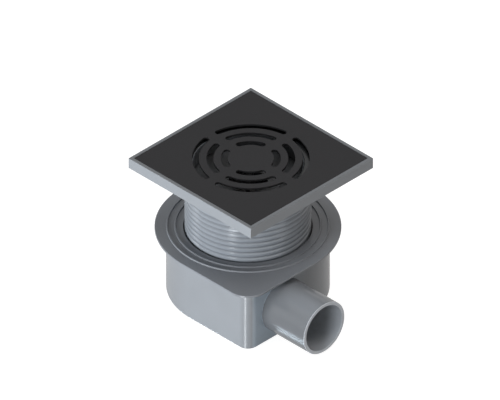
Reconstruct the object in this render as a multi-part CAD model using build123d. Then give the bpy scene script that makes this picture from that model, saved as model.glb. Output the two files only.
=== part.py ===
from build123d import *
import os
from math import asin, cos, degrees, radians, sin

# Gully trap: a round pot with a side outlet, a riser that slides in the flange's neck, a water
# trap that hangs in the riser, and a square cover frame with a slotted grate. Millimetres.
# The origin is on the riser's axis, on the plane that the pot stands on. +Z is up, +X is the
# way that the outlet points, and the pot's square corner lies between +X and -Y.

# Pot and outlet
POT_RADIUS = 71.0
POT_CORNER = 10.0
POT_HEIGHT = 61.0
POT_WALL = 3.0
POT_FLOOR = 3.0
POT_EDGE = 1.0
OUTLET_DIAMETER = 50.0
OUTLET_WALL = 3.0
OUTLET_LENGTH = 51.5
OUTLET_OFFSET = 29.0
OUTLET_HEIGHT = 30.0
OUTLET_CHAMFER = 0.4

# Flange cover: the flange, its two raised rings, the tongue in the pot's mouth and the neck
FLANGE_OVERHANG = 10.0
FLANGE_CORNER = 20.0
FLANGE_THICKNESS = 2.0
FLANGE_EDGE = 0.4
BEAD_RADII = (63.1, 70.1)
BEAD_WIDTH = 1.8
BEAD_CROWN = 1.0
BEAD_HEIGHT = 1.2
TONGUE_DEPTH = 5.0
TONGUE_WALL = 2.0
TONGUE_CLEARANCE = 0.1
NECK_GAP = 1.2
NECK_WALL = 2.5

# Neck seal with two lips, and the snap ring under it
SEAL_SPACE = 5.0
SEAL_HEIGHT = 8.0
SEAL_BACK = 3.0
LIP_CLEARANCE = 0.06
LIP_TIP = 0.6
SEAT_CLEARANCE = 0.05
RETAINER_HEIGHT = 3.0
RETAINER_GAP = 1.0
SNAP_DEPTH = 0.8
SNAP_HEIGHT = 1.2
NECK_LIP = 1.5

# Riser: a tube with rings round it and a ledge inside
RISER_DIAMETER = 110.0
RISER_WALL = 3.4
RISER_LENGTH = 88.0
RISER_EXTENSION = 61.3
RIB_PITCH = 5.1
RIB_LAND = 4.6
VALLEY_DEPTH = 0.8
VALLEY_MOUTH = 3.4
VALLEY_ROOT = 0.8
RISER_CHAMFER = 0.8
LEDGE_DROP = 18.0
LEDGE_WIDTH = 4.0
LEDGE_THICKNESS = 2.0

# Cover frame: rim, tray floor, ribs under the floor and the collar in the riser
FRAME_SIDE = 150.0
FRAME_HEIGHT = 10.3
FRAME_WALL = 3.3
FRAME_EDGE = 0.4
FRAME_SHIFT = 1.77
TRAY_DEPTH = 4.5
TRAY_FLOOR = 2.0
TRAY_LIP = 1.2
COLLAR_DEPTH = 14.0
COLLAR_WALL = 3.3
COLLAR_CLEARANCE = 0.3
TURN_GAP = 0.15
FRAME_RIBS = 4
FRAME_RIB_WIDTH = 2.0
FRAME_RIB_CLEARANCE = 1.0

# Grate and its pads
GRATE_THICKNESS = 2.0
GRATE_CLEARANCE = 0.2
GRATE_CORNER = 1.5
GRATE_EDGE = 0.25
SLOT_RADII = (23.0, 35.5, 48.0)
SLOT_WIDTH = 6.1
SLOT_INSET = 7.6
SLOTS_ROUND = 4
PAD_RADIUS = 5.0
PAD_INSET = 12.0
PAD_POCKET = 0.5
PAD_CLEARANCE = 0.1

# Trap insert: funnel with dip tube, and the cup that hangs from it
FUNNEL_RIM = 3.0
FUNNEL_RIM_WIDTH = 5.8
FUNNEL_CLEARANCE = 0.3
FUNNEL_FALL = 3.4
FUNNEL_WALL = 2.2
DIP_TUBE_RADIUS = 20.0
DIP_TUBE_WALL = 2.0
CUP_RADIUS = 38.0
CUP_WALL = 2.0
CUP_FLOOR = 2.0
CUP_CHAMFER = 2.0
CUP_RIM_DROP = 10.5
WATER_SEAL = 50.0
CUP_FLOOR_GAP = 6.5
CUP_BEAD = 2.0
CUP_BEAD_HEIGHT = 2.0
LEG_COUNT = 4
LEG_ANGLE = 16.0
LEG_WALL = 2.0
LEG_CLEARANCE = 0.2
HOOK_HEIGHT = 2.2

# Hair strainer in the funnel's mouth
STRAINER_RADIUS = 28.0
STRAINER_FLANGE = 2.0
STRAINER_CLEARANCE = 0.3
BASKET_CLEARANCE = 1.4
BASKET_DEPTH = 12.0
BASKET_WALL = 1.4
BASKET_SLOTS = 12
BASKET_SLOT_WIDTH = 2.4
BASKET_SLOT_HEIGHT = 7.0
FLOOR_HOLES = 8
FLOOR_HOLE_RADIUS = 1.7
GRIP_RADIUS = 2.2
GRIP_HEIGHT = 8.0
KNOB_RADIUS = 5.0
KNOB_HEIGHT = 2.5

# Sealing rings of the funnel and the collar, each in a groove
RING_WIDTH = 1.8
RING_HEIGHT = 1.8
RING_CHAMFER = 0.5
GROOVE_CLEARANCE = 0.05
GROOVE_SIDE = 0.1
COLLAR_GROOVE_DROP = 8.0

# Heights that follow, with the riser as far out as the photograph shows it
cover_top = POT_HEIGHT + FLANGE_THICKNESS
frame_bottom = cover_top + RISER_EXTENSION
frame_top = frame_bottom + FRAME_HEIGHT
tray_z = frame_top - TRAY_DEPTH
floor_under = tray_z - TRAY_FLOOR
riser_top = floor_under - TURN_GAP
riser_bottom = riser_top - RISER_LENGTH
ledge_z = riser_top - LEDGE_DROP
cup_rim = ledge_z - CUP_RIM_DROP
tube_end = cup_rim - WATER_SEAL
cup_floor_top = tube_end - CUP_FLOOR_GAP
cup_bottom = cup_floor_top - CUP_FLOOR

# Radii that follow
riser_radius = RISER_DIAMETER / 2
riser_bore = riser_radius - RISER_WALL
neck_hole = riser_radius + NECK_GAP
neck_seat = riser_radius + SEAL_SPACE
neck_outer = neck_seat + NECK_WALL
collar_radius = riser_bore - COLLAR_CLEARANCE
collar_bore = collar_radius - COLLAR_WALL
funnel_radius = riser_bore - FUNNEL_CLEARANCE
tube_outer = DIP_TUBE_RADIUS + DIP_TUBE_WALL
bead_outer = CUP_RADIUS + CUP_BEAD
basket_radius = DIP_TUBE_RADIUS - BASKET_CLEARANCE


def pot_outline(radius, corner):
    """Circle whose +X and -Y sides run on as flats to one rounded square corner."""
    outline = Circle(radius) + Pos(radius / 2, -radius / 2) * Rectangle(radius, radius)
    square_corner = max(outline.vertices(), key=lambda vertex: vertex.X - vertex.Y)
    return fillet(square_corner, corner)


def block(r_low, r_high, z_low, z_high):
    """Rectangle in a section drawn as radius against height."""
    place = Pos((r_low + r_high) / 2, (z_low + z_high) / 2)
    return place * Rectangle(r_high - r_low, z_high - z_low)


def turned(section, angle=360.0):
    """Solid made by turning a section about the riser's axis."""
    return revolve(Plane.XZ * section, Axis.Z, angle)


def profile(*points):
    """Section face through points given as radius and height."""
    return make_face(Polyline(*points, close=True))


def seal_ring(bore_radius, height):
    """Rubber ring with chamfered corners that lies a hair inside the bore it seals against."""
    outer = bore_radius - GROOVE_CLEARANCE
    half = RING_HEIGHT / 2
    ring = profile(
        (outer - RING_WIDTH, height - half),
        (outer - RING_CHAMFER, height - half),
        (outer, height - half + RING_CHAMFER),
        (outer, height + half - RING_CHAMFER),
        (outer - RING_CHAMFER, height + half),
        (outer - RING_WIDTH, height + half),
    )
    return turned(ring)


def ring_groove(bore_radius, height):
    """Groove for a sealing ring in the edge of a piece that plugs into a bore."""
    root = bore_radius - RING_WIDTH - 2 * GROOVE_CLEARANCE
    half = RING_HEIGHT / 2 + GROOVE_SIDE
    return turned(block(root, bore_radius, height - half, height + half))


def make_pot():
    """Open moulded pot with the outlet spigot on its flat +X side."""
    outer = extrude(pot_outline(POT_RADIUS, POT_CORNER), POT_HEIGHT)
    lower_edges = outer.edges().group_by(Axis.Z)[0]
    outer = fillet(lower_edges, min(POT_EDGE, POT_FLOOR / 2))
    hollow = pot_outline(POT_RADIUS - POT_WALL, max(POT_CORNER - POT_WALL, POT_WALL))
    pot = outer - extrude(Pos(0, 0, POT_FLOOR) * hollow, POT_HEIGHT)
    spigot_start = Plane(
        origin=(POT_RADIUS - POT_WALL, -OUTLET_OFFSET, OUTLET_HEIGHT),
        x_dir=(0, 1, 0),
        z_dir=(1, 0, 0),
    )
    spigot = extrude(spigot_start * Circle(OUTLET_DIAMETER / 2), POT_WALL + OUTLET_LENGTH)
    spigot = chamfer(spigot.edges().group_by(Axis.X)[-1], min(OUTLET_CHAMFER, OUTLET_WALL / 2))
    bore = Circle(OUTLET_DIAMETER / 2 - OUTLET_WALL)
    passage = extrude(spigot_start * bore, POT_WALL + OUTLET_LENGTH)
    return pot + spigot - passage


def make_flange_cover():
    """Cover welded on the pot: flange with two raised rings, tongue and neck for the seal."""
    flange = pot_outline(POT_RADIUS + FLANGE_OVERHANG, FLANGE_CORNER)
    cover = extrude(Pos(0, 0, POT_HEIGHT) * flange, FLANGE_THICKNESS)
    rim_edges = cover.edges().group_by(Axis.Z)[0] + cover.edges().group_by(Axis.Z)[-1]
    cover = chamfer(rim_edges, min(FLANGE_EDGE, FLANGE_THICKNESS / 3))
    tongue_radius = POT_RADIUS - POT_WALL - TONGUE_CLEARANCE
    tongue_corner = max(POT_CORNER - POT_WALL, POT_WALL)
    tongue = pot_outline(tongue_radius, tongue_corner)
    tongue -= pot_outline(tongue_radius - TONGUE_WALL, tongue_corner - TONGUE_WALL)
    cover += extrude(Pos(0, 0, POT_HEIGHT - TONGUE_DEPTH) * tongue, TONGUE_DEPTH)
    neck_bottom = POT_HEIGHT - SEAL_HEIGHT - RETAINER_HEIGHT - NECK_LIP
    cover += turned(block(neck_seat, neck_outer, neck_bottom, POT_HEIGHT))
    for radius in BEAD_RADII:
        bead = profile(
            (radius - BEAD_WIDTH / 2, cover_top - FLANGE_THICKNESS / 2),
            (radius - BEAD_WIDTH / 2, cover_top),
            (radius - BEAD_CROWN / 2, cover_top + BEAD_HEIGHT),
            (radius + BEAD_CROWN / 2, cover_top + BEAD_HEIGHT),
            (radius + BEAD_WIDTH / 2, cover_top),
            (radius + BEAD_WIDTH / 2, cover_top - FLANGE_THICKNESS / 2),
        )
        cover += turned(bead)
    cover -= turned(block(0, neck_hole, POT_HEIGHT - SEAL_HEIGHT, cover_top + BEAD_HEIGHT))
    return cover - turned(snap_section(SEAT_CLEARANCE))


def snap_section(clearance):
    """Section of the retainer's snap bead, grown by a clearance for its groove."""
    middle = POT_HEIGHT - SEAL_HEIGHT - RETAINER_HEIGHT / 2
    half = SNAP_HEIGHT / 2 + clearance
    reach = neck_seat + SNAP_DEPTH + clearance
    return block(neck_seat - SNAP_DEPTH, reach, middle - half, middle + half)


def make_neck_seal():
    """Rubber ring with two lips that touch the crests of the riser's ribs."""
    top = POT_HEIGHT - SEAT_CLEARANCE
    bottom = POT_HEIGHT - SEAL_HEIGHT + SEAT_CLEARANCE
    back = neck_seat - SEAL_BACK
    tip = riser_radius + LIP_CLEARANCE
    seal = block(back, neck_seat - SEAT_CLEARANCE, bottom, top)
    lip_pitch = (top - bottom) / 2
    for lip in range(2):
        root = bottom + lip * lip_pitch
        tip_z = root + lip_pitch / 2
        seal += profile(
            (back, root + LIP_TIP),
            (tip, tip_z),
            (tip, tip_z + LIP_TIP),
            (back, tip_z + LIP_TIP),
        )
    return turned(seal)


def make_seal_retainer():
    """Snap ring that holds the neck seal up against the flange."""
    top = POT_HEIGHT - SEAL_HEIGHT
    inner = riser_radius + RETAINER_GAP
    ring = block(inner, neck_seat - SEAT_CLEARANCE, top - RETAINER_HEIGHT, top)
    return turned(ring + snap_section(0))


def make_riser():
    """Ribbed tube with a ledge inside for the trap insert."""
    points = [
        (riser_bore, riser_bottom),
        (riser_bore, ledge_z - LEDGE_THICKNESS - LEDGE_WIDTH),
        (riser_bore - LEDGE_WIDTH, ledge_z - LEDGE_THICKNESS),
        (riser_bore - LEDGE_WIDTH, ledge_z),
        (riser_bore, ledge_z),
        (riser_bore, riser_top),
        (riser_radius, riser_top),
    ]
    valleys = int((RISER_LENGTH - 2 * RIB_LAND) / RIB_PITCH) + 1
    for valley in range(valleys):
        middle = riser_top - RIB_LAND - valley * RIB_PITCH
        points += [
            (riser_radius, middle + VALLEY_MOUTH / 2),
            (riser_radius - VALLEY_DEPTH, middle + VALLEY_ROOT / 2),
            (riser_radius - VALLEY_DEPTH, middle - VALLEY_ROOT / 2),
            (riser_radius, middle - VALLEY_MOUTH / 2),
        ]
    points += [
        (riser_radius, riser_bottom + RISER_CHAMFER),
        (riser_radius - RISER_CHAMFER, riser_bottom),
    ]
    return turned(profile(*points))


def make_cover_frame():
    """Square frame with a tray floor, ribs under it and the collar that plugs into the riser."""
    inside = FRAME_SIDE - 2 * FRAME_WALL
    centre = Pos(FRAME_SHIFT, FRAME_SHIFT)
    outside = Rectangle(FRAME_SIDE, FRAME_SIDE)
    frame = centre * extrude(Pos(0, 0, frame_bottom) * outside, FRAME_HEIGHT)
    frame = fillet(frame.edges() - frame.edges().group_by(Axis.Z)[0], min(FRAME_EDGE, FRAME_WALL / 3))
    frame -= centre * extrude(Pos(0, 0, tray_z) * Rectangle(inside, inside), TRAY_DEPTH)
    hollow_height = floor_under - frame_bottom
    hollow = centre * extrude(Pos(0, 0, frame_bottom) * Rectangle(inside, inside), hollow_height)
    frame -= hollow
    rib_start = riser_radius + FRAME_RIB_CLEARANCE
    rib_length = FRAME_SIDE
    rib_plan = Pos(rib_start + rib_length / 2, 0) * Rectangle(rib_length, FRAME_RIB_WIDTH)
    rib = extrude(Pos(0, 0, frame_bottom) * rib_plan, hollow_height)
    for index in range(FRAME_RIBS):
        turn = (index + 0.5) * 360 / FRAME_RIBS
        frame += Rot(0, 0, turn) * rib & hollow
    frame += turned(block(collar_bore, collar_radius, floor_under - COLLAR_DEPTH, tray_z))
    mouth = profile(
        (0, floor_under - COLLAR_DEPTH),
        (collar_bore, floor_under - COLLAR_DEPTH),
        (collar_bore, tray_z - TRAY_LIP),
        (collar_bore + TRAY_LIP, tray_z),
        (0, tray_z),
    )
    frame -= turned(mouth)
    frame -= ring_groove(riser_bore, floor_under - COLLAR_GROOVE_DROP)
    for place in pad_places():
        pocket = extrude(Circle(PAD_RADIUS + PAD_CLEARANCE), PAD_POCKET)
        frame -= Pos(*place, tray_z - PAD_POCKET) * pocket
    return frame


def pad_places():
    """Centres of the four pads, in the corners of the tray."""
    reach = FRAME_SIDE / 2 - FRAME_WALL - PAD_INSET
    signs = ((1, 1), (-1, 1), (-1, -1), (1, -1))
    return [(FRAME_SHIFT + reach * x, FRAME_SHIFT + reach * y) for x, y in signs]


def make_grate_pad(place):
    """Round rubber pad that fills its pocket and carries a corner of the grate."""
    height = TRAY_DEPTH - GRATE_THICKNESS + PAD_POCKET
    return Pos(*place, tray_z - PAD_POCKET) * extrude(Circle(PAD_RADIUS), height)


def make_grate():
    """Square plate with three rings of arc slots, each slot centred on a diagonal."""
    side = FRAME_SIDE - 2 * (FRAME_WALL + GRATE_CLEARANCE)
    plate = RectangleRounded(side, side, GRATE_CORNER)
    for radius in SLOT_RADII:
        start = degrees(asin(SLOT_INSET / radius))
        for index in range(SLOTS_ROUND):
            quarter = index * 360 / SLOTS_ROUND
            line = CenterArc((0, 0), radius, quarter + start, 360 / SLOTS_ROUND - 2 * start)
            plate -= SlotArc(line, SLOT_WIDTH)
    bottom = frame_top - GRATE_THICKNESS
    grate = extrude(Pos(FRAME_SHIFT, FRAME_SHIFT, bottom) * plate, GRATE_THICKNESS)
    top = grate.faces().sort_by(Axis.Z)[-1]
    return chamfer(top.outer_wire().edges(), min(GRATE_EDGE, GRATE_THICKNESS / 3))


def make_trap_funnel():
    """Funnel on the riser's ledge, with the dip tube and the hooks that carry the cup."""
    rim_top = ledge_z + FUNNEL_RIM
    rim_inner = funnel_radius - FUNNEL_RIM_WIDTH
    mouth = STRAINER_RADIUS + STRAINER_CLEARANCE
    slope_end = rim_top - FUNNEL_FALL
    seat = slope_end - STRAINER_FLANGE
    under = seat - FUNNEL_WALL
    ledge_edge = riser_bore - LEDGE_WIDTH - FUNNEL_CLEARANCE
    funnel = turned(
        profile(
            (funnel_radius, ledge_z),
            (funnel_radius, rim_top),
            (rim_inner, rim_top),
            (mouth, slope_end),
            (mouth, seat),
            (DIP_TUBE_RADIUS, seat),
            (DIP_TUBE_RADIUS, tube_end),
            (tube_outer, tube_end),
            (tube_outer, under),
            (mouth, under),
            (ledge_edge, ledge_z),
        )
    )
    leg_inner = bead_outer + LEG_CLEARANCE
    leg_outer = leg_inner + LEG_WALL
    hook_top = cup_rim - CUP_BEAD_HEIGHT
    hook_inner = CUP_RADIUS + LEG_CLEARANCE
    leg_bottom = hook_top - 2 * HOOK_HEIGHT
    under_slope = (ledge_z - under) / (ledge_edge - mouth)
    leg_root = under + (leg_outer - mouth) * under_slope + FUNNEL_WALL / 2
    leg = profile(
        (leg_inner - CUP_BEAD / 2, leg_root),
        (leg_inner - CUP_BEAD / 2, cup_rim + LEG_CLEARANCE),
        (leg_inner, cup_rim + LEG_CLEARANCE),
        (leg_inner, hook_top),
        (hook_inner, hook_top),
        (hook_inner, hook_top - HOOK_HEIGHT),
        (leg_inner, leg_bottom),
        (leg_outer, leg_bottom),
        (leg_outer, leg_root),
    )
    for index in range(LEG_COUNT):
        turn = (index + 0.5) * 360 / LEG_COUNT - LEG_ANGLE / 2
        funnel += Rot(0, 0, turn) * turned(leg, LEG_ANGLE)
    return funnel - ring_groove(riser_bore, ledge_z + FUNNEL_RIM / 2)


def make_trap_cup():
    """Cup that keeps the water seal, with a bead round its rim for the hooks."""
    outer = block(0, CUP_RADIUS, cup_bottom, cup_rim)
    outer += block(CUP_RADIUS - CUP_WALL / 2, bead_outer, cup_rim - CUP_BEAD_HEIGHT, cup_rim)
    cup = turned(outer)
    cup = chamfer(cup.edges().group_by(Axis.Z)[0], CUP_CHAMFER)
    hollow = turned(block(0, CUP_RADIUS - CUP_WALL, cup_floor_top, cup_rim))
    hollow = chamfer(hollow.edges().group_by(Axis.Z)[0], CUP_CHAMFER)
    return cup - hollow


def make_hair_strainer():
    """Slotted basket in the dip tube's mouth, with a flange and a grip to lift it by."""
    flange_top = ledge_z + FUNNEL_RIM - FUNNEL_FALL
    flange_bottom = flange_top - STRAINER_FLANGE
    basket_bottom = flange_bottom - BASKET_DEPTH
    inner = basket_radius - BASKET_WALL
    floor_top = basket_bottom + BASKET_WALL
    knob_bottom = flange_top + GRIP_HEIGHT
    section = profile(
        (0, basket_bottom),
        (basket_radius, basket_bottom),
        (basket_radius, flange_bottom),
        (STRAINER_RADIUS, flange_bottom),
        (STRAINER_RADIUS, flange_top),
        (inner, flange_top),
        (inner, floor_top),
        (GRIP_RADIUS, floor_top),
        (GRIP_RADIUS, knob_bottom),
        (KNOB_RADIUS, knob_bottom),
        (KNOB_RADIUS, knob_bottom + KNOB_HEIGHT),
        (0, knob_bottom + KNOB_HEIGHT),
    )
    strainer = turned(section)
    slot_z = (floor_top + flange_bottom) / 2
    slot_height = min(BASKET_SLOT_HEIGHT, flange_bottom - floor_top - BASKET_WALL)
    slot = Pos(basket_radius, 0, slot_z) * Box(4 * BASKET_WALL, BASKET_SLOT_WIDTH, slot_height)
    for index in range(BASKET_SLOTS):
        strainer -= Rot(0, 0, index * 360 / BASKET_SLOTS) * slot
    hole_ring = (GRIP_RADIUS + inner) / 2
    for index in range(FLOOR_HOLES):
        angle = radians(index * 360 / FLOOR_HOLES)
        place = Pos(hole_ring * cos(angle), hole_ring * sin(angle), basket_bottom)
        strainer -= place * extrude(Circle(FLOOR_HOLE_RADIUS), BASKET_WALL)
    return strainer


pieces = {
    "pot": make_pot(),
    "flange_cover": make_flange_cover(),
    "neck_seal": make_neck_seal(),
    "seal_retainer": make_seal_retainer(),
    "riser": make_riser(),
    "trap_funnel": make_trap_funnel(),
    "funnel_seal": seal_ring(riser_bore, ledge_z + FUNNEL_RIM / 2),
    "trap_cup": make_trap_cup(),
    "hair_strainer": make_hair_strainer(),
    "cover_frame": make_cover_frame(),
    "collar_seal": seal_ring(riser_bore, floor_under - COLLAR_GROOVE_DROP),
    "grate": make_grate(),
}
for number, place in enumerate(pad_places(), start=1):
    pieces[f"grate_pad_{number}"] = make_grate_pad(place)

os.makedirs("parts", exist_ok=True)
for name, piece in pieces.items():
    export_step(piece, f"parts/{name}.step")
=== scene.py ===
import math

import bpy
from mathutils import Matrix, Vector

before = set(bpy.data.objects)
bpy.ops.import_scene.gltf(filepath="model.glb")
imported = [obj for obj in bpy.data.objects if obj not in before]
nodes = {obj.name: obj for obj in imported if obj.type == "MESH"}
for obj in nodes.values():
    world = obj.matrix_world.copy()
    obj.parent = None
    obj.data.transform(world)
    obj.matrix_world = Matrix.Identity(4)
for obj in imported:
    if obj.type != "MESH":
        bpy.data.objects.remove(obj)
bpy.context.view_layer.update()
bpy.ops.object.select_all(action="DESELECT")


# Pot: one shell of grey polypropylene with the outlet spigot moulded on its flat side. It leaves
# a polished steel mould, so its walls are smooth and half glossy, with the faint waviness of a
# moulding and slow changes of tone where the melt ran.

class Value:
    """One output of a tree's nodes. Arithmetic and comparison on it add Math nodes."""

    def __init__(self, tree, socket):
        self.tree = tree
        self.socket = socket

    def math(self, operation, first, second=0.0):
        return self.tree.node("Math", {"operation": operation}, {0: first, 1: second})

    def __add__(self, other):
        return self.math("ADD", self, other)

    __radd__ = __add__

    def __sub__(self, other):
        return self.math("SUBTRACT", self, other)

    def __rsub__(self, other):
        return self.math("SUBTRACT", other, self)

    def __mul__(self, other):
        return self.math("MULTIPLY", self, other)

    __rmul__ = __mul__

    def __pow__(self, other):
        return self.math("POWER", self, other)

    def __gt__(self, other):
        return self.math("GREATER_THAN", self, other)

    def __lt__(self, other):
        return self.math("LESS_THAN", self, other)


class NodeTree:
    """A tree of shader nodes, which grows by one node at a time."""

    def __init__(self, tree):
        self.tree = tree

    def node(self, kind, settings=None, sockets=None, output=0):
        """Adds a node, applies its settings, fills its sockets and gives one of its outputs."""
        made = self.tree.nodes.new("ShaderNode" + kind)
        for setting, value in (settings or {}).items():
            setattr(made, setting, value)
        for socket, value in (sockets or {}).items():
            self.fill(made.inputs[socket], value)
        return Value(self, made.outputs[output])

    def fill(self, socket, value):
        """Links a value to a socket, or sets a number or colour on it."""
        if isinstance(value, Value):
            self.tree.links.new(value.socket, socket)
        else:
            socket.default_value = value

    def ray(self, kind):
        """1 for rays of one kind, such as Camera, and 0 for the rest."""
        return self.node("LightPath", output=f"Is {kind} Ray")

    def clamped(self, value):
        """A number held between 0 and 1."""
        return self.node("Clamp", sockets={"Value": value})

    def blend(self, factor, first, second):
        """The first colour at 0, the second at 1."""
        sockets = {"Factor": factor, "A": first, "B": second}
        return self.node("Mix", {"data_type": "RGBA"}, sockets, output="Result")


class Finish(NodeTree):
    """A material made of nodes, for one finish of the gully."""

    def __init__(self, name, **constants):
        self.material = bpy.data.materials.new(name)
        self.material.use_nodes = True
        super().__init__(self.material.node_tree)
        self.shader = self.tree.nodes["Principled BSDF"]
        for socket, value in constants.items():
            self.shader.inputs[socket.replace("_", " ")].default_value = value

    def feed(self, socket, value):
        """Feeds one socket of the finish's own shader."""
        self.fill(self.shader.inputs[socket], value)

    def place(self):
        """Where a point lies on the gully, in metres."""
        return self.node("TexCoord", output="Object")

    def along(self, axis):
        """How far along X, Y or Z a point lies, in metres."""
        return self.node("SeparateXYZ", sockets={0: self.place()}, output=axis)

    def within(self, low, high):
        """1 inside a box between two corners, in metres, and 0 outside it."""
        mask = 1.0
        for axis, start, end in zip("XYZ", low, high):
            mask = (self.along(axis) > start) * (self.along(axis) < end) * mask
        return mask

    def from_line(self, first, first_at, second, second_at):
        """How far a point lies from a line along the third axis, in metres."""
        across = self.along(first) - first_at
        upward = self.along(second) - second_at
        return (across * across + upward * upward) ** 0.5

    def noise(self, size, detail=2.0):
        """Noise from 0 to 1 whose lumps are about as large as size, in metres."""
        sockets = {"Vector": self.place(), "Scale": 1 / size, "Detail": detail}
        return self.node("TexNoise", sockets=sockets)

    def bump(self, height, depth):
        """Lets a height from 0 to 1 stand for a relief of that depth, in metres."""
        self.feed("Normal", self.node("Bump", sockets={"Height": height, "Distance": depth}))

    def cover(self, *names):
        """Gives this finish to CAD nodes."""
        for name in names:
            slots = nodes[name].data.materials
            slots.clear()
            slots.append(self.material)


def shade(colour, factor):
    """A colour made lighter or darker, with its alpha."""
    return [part * factor for part in colour] + [1]


FLOW_SIZE, FLOW_TONE, FLOW_GLOSS = 0.035, 0.05, 0.06
SKIN_SIZE, SKIN_DEPTH = 0.0016, 0.0000015


def moulded_plastic(name, colour, roughness):
    """Moulded plastic and its colour: slow changes of tone and gloss, a skin never quite flat."""
    finish = Finish(name, IOR=1.5)
    flow = finish.noise(FLOW_SIZE)
    skin = finish.noise(SKIN_SIZE, detail=3.0)
    base = finish.blend(flow, shade(colour, 1 - FLOW_TONE), shade(colour, 1 + FLOW_TONE))
    finish.feed("Base Color", base)
    finish.feed("Roughness", roughness + (flow - 0.5) * FLOW_GLOSS)
    finish.bump(skin, SKIN_DEPTH)
    return finish, base


GREY = (0.235, 0.253, 0.275)

# The flat side by the spigot, painted paler and bluer than the rest: a painted reflection of the
# lit spigot beside it. It fades into the corner along X, and along Y into the round wall behind the
# spigot.
FLAT_SIDE_START, FLAT_SIDE_RAMP = 0.07, 0.001
FLAT_SIDE_FADE = 0.03
FLAT_SIDE_PAINTED_REFLECTION = (0.355, 0.425, 0.495, 1)

# The spigot, painted darker than the pot as painted shade but lighter up to its crown as painted
# light from above, with its bore painted pale as painted light, and a lighter end face with a grain.
SPIGOT_START, SPIGOT_END = 0.0712, 0.1221
SPIGOT_Y, SPIGOT_Z = -0.029, 0.03
SPIGOT_RADIUS, SPIGOT_PAINTED_SHADE = 0.025, 0.52
CROWN_NARROWING, CROWN_PAINTED_LIGHT = 5, 0.96
BORE_START, BORE_RADIUS, BORE_PAINTED_LIGHT = 0.06, 0.0225, 1.75
END_GRAIN, END_SHADE_LOW, END_SHADE_HIGH = 0.0006, 2.2, 2.5

pot_plastic, pot_base = moulded_plastic("pot_plastic", GREY, roughness=0.2)
reach = pot_plastic.along("X")

# Painted reflection: the flat side beside the spigot is made paler and bluer.
flat_side = pot_plastic.clamped((reach - FLAT_SIDE_START) * (1 / FLAT_SIDE_RAMP))
flat_side = flat_side * pot_plastic.clamped(pot_plastic.along("Y") * (-1 / FLAT_SIDE_FADE))
pot_base = pot_plastic.blend(flat_side, pot_base, FLAT_SIDE_PAINTED_REFLECTION)

# Painted shade on the spigot's side, painted light towards its crown.
crown = pot_plastic.clamped((pot_plastic.along("Z") - SPIGOT_Z) * (1 / SPIGOT_RADIUS))
crown = crown ** CROWN_NARROWING
spigot = pot_plastic.blend(crown, shade(GREY, SPIGOT_PAINTED_SHADE), shade(GREY, CROWN_PAINTED_LIGHT))
pot_base = pot_plastic.blend(reach > SPIGOT_START, pot_base, spigot)

# Painted light: the spigot's bore is made paler.
in_bore = pot_plastic.from_line("Y", SPIGOT_Y, "Z", SPIGOT_Z) < BORE_RADIUS
in_bore = in_bore * (reach > BORE_START)
pot_base = pot_plastic.blend(in_bore, pot_base, shade(GREY, BORE_PAINTED_LIGHT))

# The spigot's end face is lighter than the rest, with a fine grain.
end_grain = pot_plastic.noise(END_GRAIN)
end_face = pot_plastic.blend(end_grain, shade(GREY, END_SHADE_LOW), shade(GREY, END_SHADE_HIGH))
pot_base = pot_plastic.blend(reach > SPIGOT_END, pot_base, end_face)
pot_plastic.feed("Base Color", pot_base)
pot_plastic.cover("pot")


# Flange cover: the same grey plastic welded on the pot's mouth, painted a little darker as painted
# shade under the frame. Its top carries the two raised rings that the sealing sheet is pressed over,
# and the neck for the riser.
COVER_SHADED_GREY = (0.2, 0.215, 0.237)

cover_plastic, _ = moulded_plastic("cover_plastic", COVER_SHADED_GREY, roughness=0.26)
cover_plastic.cover("flange_cover")


# Neck seal: black rubber ring with two lips, held up in the neck by a dark plastic snap ring.
# Rubber is matt, and a little of the mould's talc stays on it.
RUBBER_BLACK = (0.012, 0.012, 0.013, 1)
TALC_GREY = (0.035, 0.035, 0.036, 1)
TALC_SIZE = 0.012
RUBBER_GRAIN, RUBBER_DEPTH = 0.0008, 0.00001
RUBBER_ROUGHNESS, RUBBER_SWING = 0.62, 0.2
RETAINER_GREY = (0.035, 0.036, 0.038)

black_rubber = Finish("black_rubber", IOR=1.45)
grain = black_rubber.noise(RUBBER_GRAIN, detail=3.0)
talc = black_rubber.noise(TALC_SIZE) * grain
black_rubber.feed("Base Color", black_rubber.blend(talc, RUBBER_BLACK, TALC_GREY))
black_rubber.feed("Roughness", RUBBER_ROUGHNESS + (grain - 0.5) * RUBBER_SWING)
black_rubber.bump(grain, RUBBER_DEPTH)
black_rubber.cover("neck_seal")

dark_plastic, _ = moulded_plastic("dark_plastic", RETAINER_GREY, roughness=0.45)
dark_plastic.cover("seal_retainer")


# Riser: grey plastic tube with rings moulded round it, which slides in the neck seal. Its plastic
# is a little bluer than the pot's, and a little lighter as painted light against the shade of the
# flange and frame. The valleys between its rings and its inside are painted darker, as painted
# shade.
RISER_GREY = (0.238, 0.264, 0.296)
RISER_RADIUS, VALLEY_DEPTH = 0.055, 0.0008
VALLEY_SHADE = 0.72

riser_plastic, riser_base = moulded_plastic("riser_plastic", RISER_GREY, roughness=0.22)
# Painted shade: darker the deeper a point lies below the rings' crests, and inside the tube.
sunk = RISER_RADIUS - riser_plastic.from_line("X", 0, "Y", 0)
valley_shade = riser_plastic.clamped(sunk * (1 / VALLEY_DEPTH))
riser_base = riser_plastic.blend(valley_shade, riser_base, shade(RISER_GREY, VALLEY_SHADE))
riser_plastic.feed("Base Color", riser_base)
riser_plastic.cover("riser")


# Trap: a funnel with its dip tube, its sealing ring and the cup that hangs under it. They lift
# out for cleaning. Funnel and cup are dark grey, the ring is black rubber.
TRAP_GREY = (0.075, 0.078, 0.082)

insert_plastic, _ = moulded_plastic("insert_plastic", TRAP_GREY, roughness=0.4)
insert_plastic.cover("trap_funnel", "trap_cup")
black_rubber.cover("funnel_seal")


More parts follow.
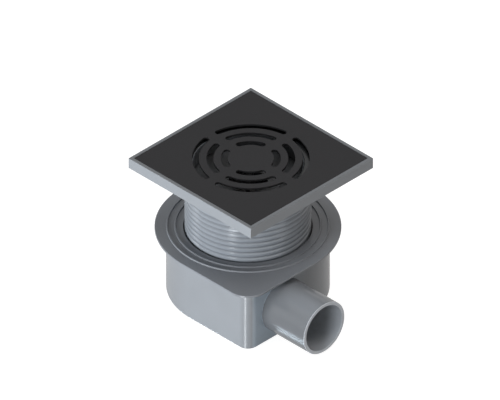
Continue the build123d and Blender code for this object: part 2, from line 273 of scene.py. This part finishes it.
# Hair strainer: small basket with a knob, which rests in the funnel's mouth. It is moulded in a
# plastic a little lighter than the funnel's, and shows through the middle slots.
STRAINER_GREY = (0.14, 0.144, 0.15)

strainer_plastic, _ = moulded_plastic("strainer_plastic", STRAINER_GREY, roughness=0.45)
strainer_plastic.cover("hair_strainer")


# Cover frame: square grey moulding with the tray for the grate and the collar that plugs into
# the riser, sealed by a rubber ring. The top of its rim is painted darker than its walls, as painted
# shade on the tops, the collar's inside is painted darker as painted shade, and the tray's floor
# under the grate is painted nearly black, as painted shadow of the grate.
TRAY_LOW, TRAY_HIGH = (-0.0699, -0.0699, 0.1286), (0.0734, 0.0734, 0.13025)
TRAY_SHADE = 0.05
COLLAR_BORE, COLLAR_SHADE = 0.0487, 0.6
RIM_FACE, RIM_SHADE = 0.1344, 0.66

frame_plastic, frame_base = moulded_plastic("frame_plastic", GREY, roughness=0.26)
on_tray = frame_plastic.within(TRAY_LOW, TRAY_HIGH)
in_collar = frame_plastic.from_line("X", 0, "Y", 0) < COLLAR_BORE
on_rim = frame_plastic.along("Z") > RIM_FACE
# Painted shade on the rim's top and in the collar, painted shadow on the tray's floor.
frame_base = frame_plastic.blend(on_rim, frame_base, shade(GREY, RIM_SHADE))
frame_base = frame_plastic.blend(on_tray, frame_base, shade(GREY, TRAY_SHADE))
frame_base = frame_plastic.blend(in_collar, frame_base, shade(GREY, COLLAR_SHADE))
frame_plastic.feed("Base Color", frame_base)
frame_plastic.cover("cover_frame")
black_rubber.cover("collar_seal")


# Grate: steel sheet with a fine matt anthracite coating that is baked on, so it has a dense tiny
# grain and hardly any gloss. The cut walls of its slots, and all below its face, are painted darker
# than its face, as painted shade in the slots. Four rubber pads under it keep it from rattling.
ANTHRACITE = (0.0315, 0.0315, 0.0335)
COATING_GRAIN, COATING_DEPTH = 0.0005, 0.000012
CLOUD_SIZE, CLOUD_SHARE = 0.05, 0.4
MOTTLE_TONE = 0.08
COATING_ROUGHNESS, COATING_SWING = 0.55, 0.15
GRATE_FACE, CUT_WALL_SHADE = 0.1344, 0.65

coating = Finish("anthracite_coating", IOR=1.45, Specular_IOR_Level=0.12)
grain = coating.noise(COATING_GRAIN, detail=4.0)
mottle = grain * (1 - CLOUD_SHARE) + coating.noise(CLOUD_SIZE) * CLOUD_SHARE
face = coating.blend(mottle, shade(ANTHRACITE, 1 - MOTTLE_TONE), shade(ANTHRACITE, 1 + MOTTLE_TONE))
# Painted shade: the slots' cut walls and everything below the face are darker.
in_cut = coating.along("Z") < GRATE_FACE
coating.feed("Base Color", coating.blend(in_cut, face, shade(ANTHRACITE, CUT_WALL_SHADE)))
coating.feed("Roughness", COATING_ROUGHNESS + (grain - 0.5) * COATING_SWING)
coating.bump(grain, COATING_DEPTH)
coating.cover("grate")
black_rubber.cover("grate_pad_1", "grate_pad_2", "grate_pad_3", "grate_pad_4")


# Studio: a white floor under a white sky. The key lamp stands low at the left, so that the sides
# are lighter than the tops, with a lamp overhead and three weak warm ones for the other sides.
FLOOR_SIDE = 6.0
FLOOR_GREY = (0.33, 0.33, 0.33, 1)
FLOOR_LIGHT, FLOOR_WHITE, FLOOR_GLOSS = 0.08, 0.9, 0.4
SKY_LIGHT, SKY_GLOSS = 0.17, 0.7
SKY_WARM = (1.0, 0.95, 0.9, 1)
WHITE = (1, 1, 1, 1)
LAMP_DISTANCE, LAMP_AIM = 1.6, Vector((0, 0, 0.06))
COOL, WARM = (0.93, 0.97, 1.0), (1.0, 0.88, 0.78)

floor_mesh = bpy.data.meshes.new("floor")
half = FLOOR_SIDE / 2
corners = [(-half, -half, 0), (half, -half, 0), (half, half, 0), (-half, half, 0)]
floor_mesh.from_pydata(corners, [], [(0, 1, 2, 3)])
floor = bpy.data.objects.new("floor", floor_mesh)
bpy.context.scene.collection.objects.link(floor)
floor.visible_shadow = False  # lets the lamps below it through, and still takes the gully's shadow

white_floor = Finish("white_floor", Roughness=0.9, Specular_IOR_Level=0.0)
white_floor.feed("Base Color", FLOOR_GREY)
white_floor.feed("Emission Color", WHITE)
seen = white_floor.ray("Camera") + white_floor.ray("Transmission")
glow = FLOOR_LIGHT + seen * (FLOOR_WHITE - FLOOR_LIGHT)
glow = glow + white_floor.ray("Glossy") * (FLOOR_GLOSS - FLOOR_LIGHT)
white_floor.feed("Emission Strength", glow)
white_floor.material.cycles.emission_sampling = "NONE"
floor_mesh.materials.append(white_floor.material)

world = bpy.data.worlds.new("studio")
world.use_nodes = True
bpy.context.scene.world = world
sky = NodeTree(world.node_tree)
seen, mirrored = sky.ray("Camera") + sky.ray("Transmission"), sky.ray("Glossy")
strength = SKY_LIGHT + seen * (1 - SKY_LIGHT) + mirrored * (SKY_GLOSS - SKY_LIGHT)
background = world.node_tree.nodes["Background"]
sky.fill(background.inputs["Color"], sky.blend(seen + mirrored, SKY_WARM, WHITE))
sky.fill(background.inputs["Strength"], strength)


def soft_light(name, azimuth, elevation, width, height, power, colour):
    """Rectangular lamp that looks at the gully from an azimuth, counted from +X to +Y."""
    turn, rise = math.radians(azimuth), math.radians(elevation)
    away = Vector((math.cos(turn) * math.cos(rise), math.sin(turn) * math.cos(rise), math.sin(rise)))
    data = bpy.data.lights.new(name, "AREA")
    data.shape = "RECTANGLE"
    data.size, data.size_y = width, height
    data.energy = power
    data.color = colour
    lamp = bpy.data.objects.new(name, data)
    lamp.location = LAMP_AIM + away * LAMP_DISTANCE
    lamp.rotation_euler = (-away).to_track_quat("-Z", "Y").to_euler()
    bpy.context.scene.collection.objects.link(lamp)
    return lamp


# These lamps light the surfaces and aren't mirrored in them.
for lamp in (
    soft_light("key", -96, 8, 2.0, 0.7, 40.2, (0.965, 0.98, 1.0)),
    soft_light("top_light", 45, 84, 1.2, 1.2, 11.5, (0.97, 0.985, 1.0)),
    soft_light("front_fill", -28, 4, 1.0, 0.6, 1.5, (1.0, 0.93, 0.86)),
    soft_light("right_fill", 45, 48, 0.9, 0.7, 3.8, WARM),
    soft_light("back_fill", 150, 8, 2.2, 1.0, 3, (1.0, 0.9, 0.8)),
):
    lamp.visible_glossy = False

# These only draw highlights. An upright wall mirrors what lies under the floor to a view from
# above, so three of them stand there, for the lines on the pot's corner and on the spigot.
for lamp in (
    soft_light("corner_strip", -70.6, -35.3, 0.26, 0.6, 11.5, COOL),
    soft_light("corner_glow", -18, -35.3, 2.2, 0.3, 17, COOL),
    soft_light("spigot_strip", -151, -48.6, 0.6, 0.08, 14, (0.74, 0.89, 1.0)),
    soft_light("ring_light", -18, 25, 2.2, 0.4, 5, COOL),
    soft_light("riser_strip", -72, 28, 0.12, 0.7, 2.6, COOL),
    soft_light("left_strip", -142, 9, 0.35, 0.5, 2, COOL),
):
    lamp.visible_diffuse = False


# Camera: a parallel view from above the front corner, with the edges of the frame in the picture
# at the slopes of an isometric drawing. The object's axis meets the picture at AXIS_PIXEL.
PHOTO_SIZE = (500, 400)
METRES_PER_PIXEL = 0.0008663
AXIS_PIXEL = (247.94, 225.6)
AXIS_POINT = Vector((0, 0, 0.063))
VIEW_AZIMUTH, VIEW_ELEVATION = 45, 35.264
CAMERA_DISTANCE = 1.5

turn, rise = math.radians(VIEW_AZIMUTH), math.radians(VIEW_ELEVATION)
back = Vector((math.sin(turn) * math.cos(rise), -math.cos(turn) * math.cos(rise), math.sin(rise)))
right = Vector((math.cos(turn), math.sin(turn), 0))
up = back.cross(right)
centre = AXIS_POINT + right * (PHOTO_SIZE[0] / 2 - AXIS_PIXEL[0]) * METRES_PER_PIXEL
centre -= up * (PHOTO_SIZE[1] / 2 - AXIS_PIXEL[1]) * METRES_PER_PIXEL
camera_data = bpy.data.cameras.new("camera")
camera_data.type = "ORTHO"
camera_data.ortho_scale = PHOTO_SIZE[0] * METRES_PER_PIXEL
camera = bpy.data.objects.new("camera", camera_data)
camera.location = centre + back * CAMERA_DISTANCE
camera.rotation_euler = (-back).to_track_quat("-Z", "Y").to_euler()
bpy.context.scene.collection.objects.link(camera)
bpy.context.scene.camera = camera
bpy.context.scene.view_settings.view_transform = "Standard"
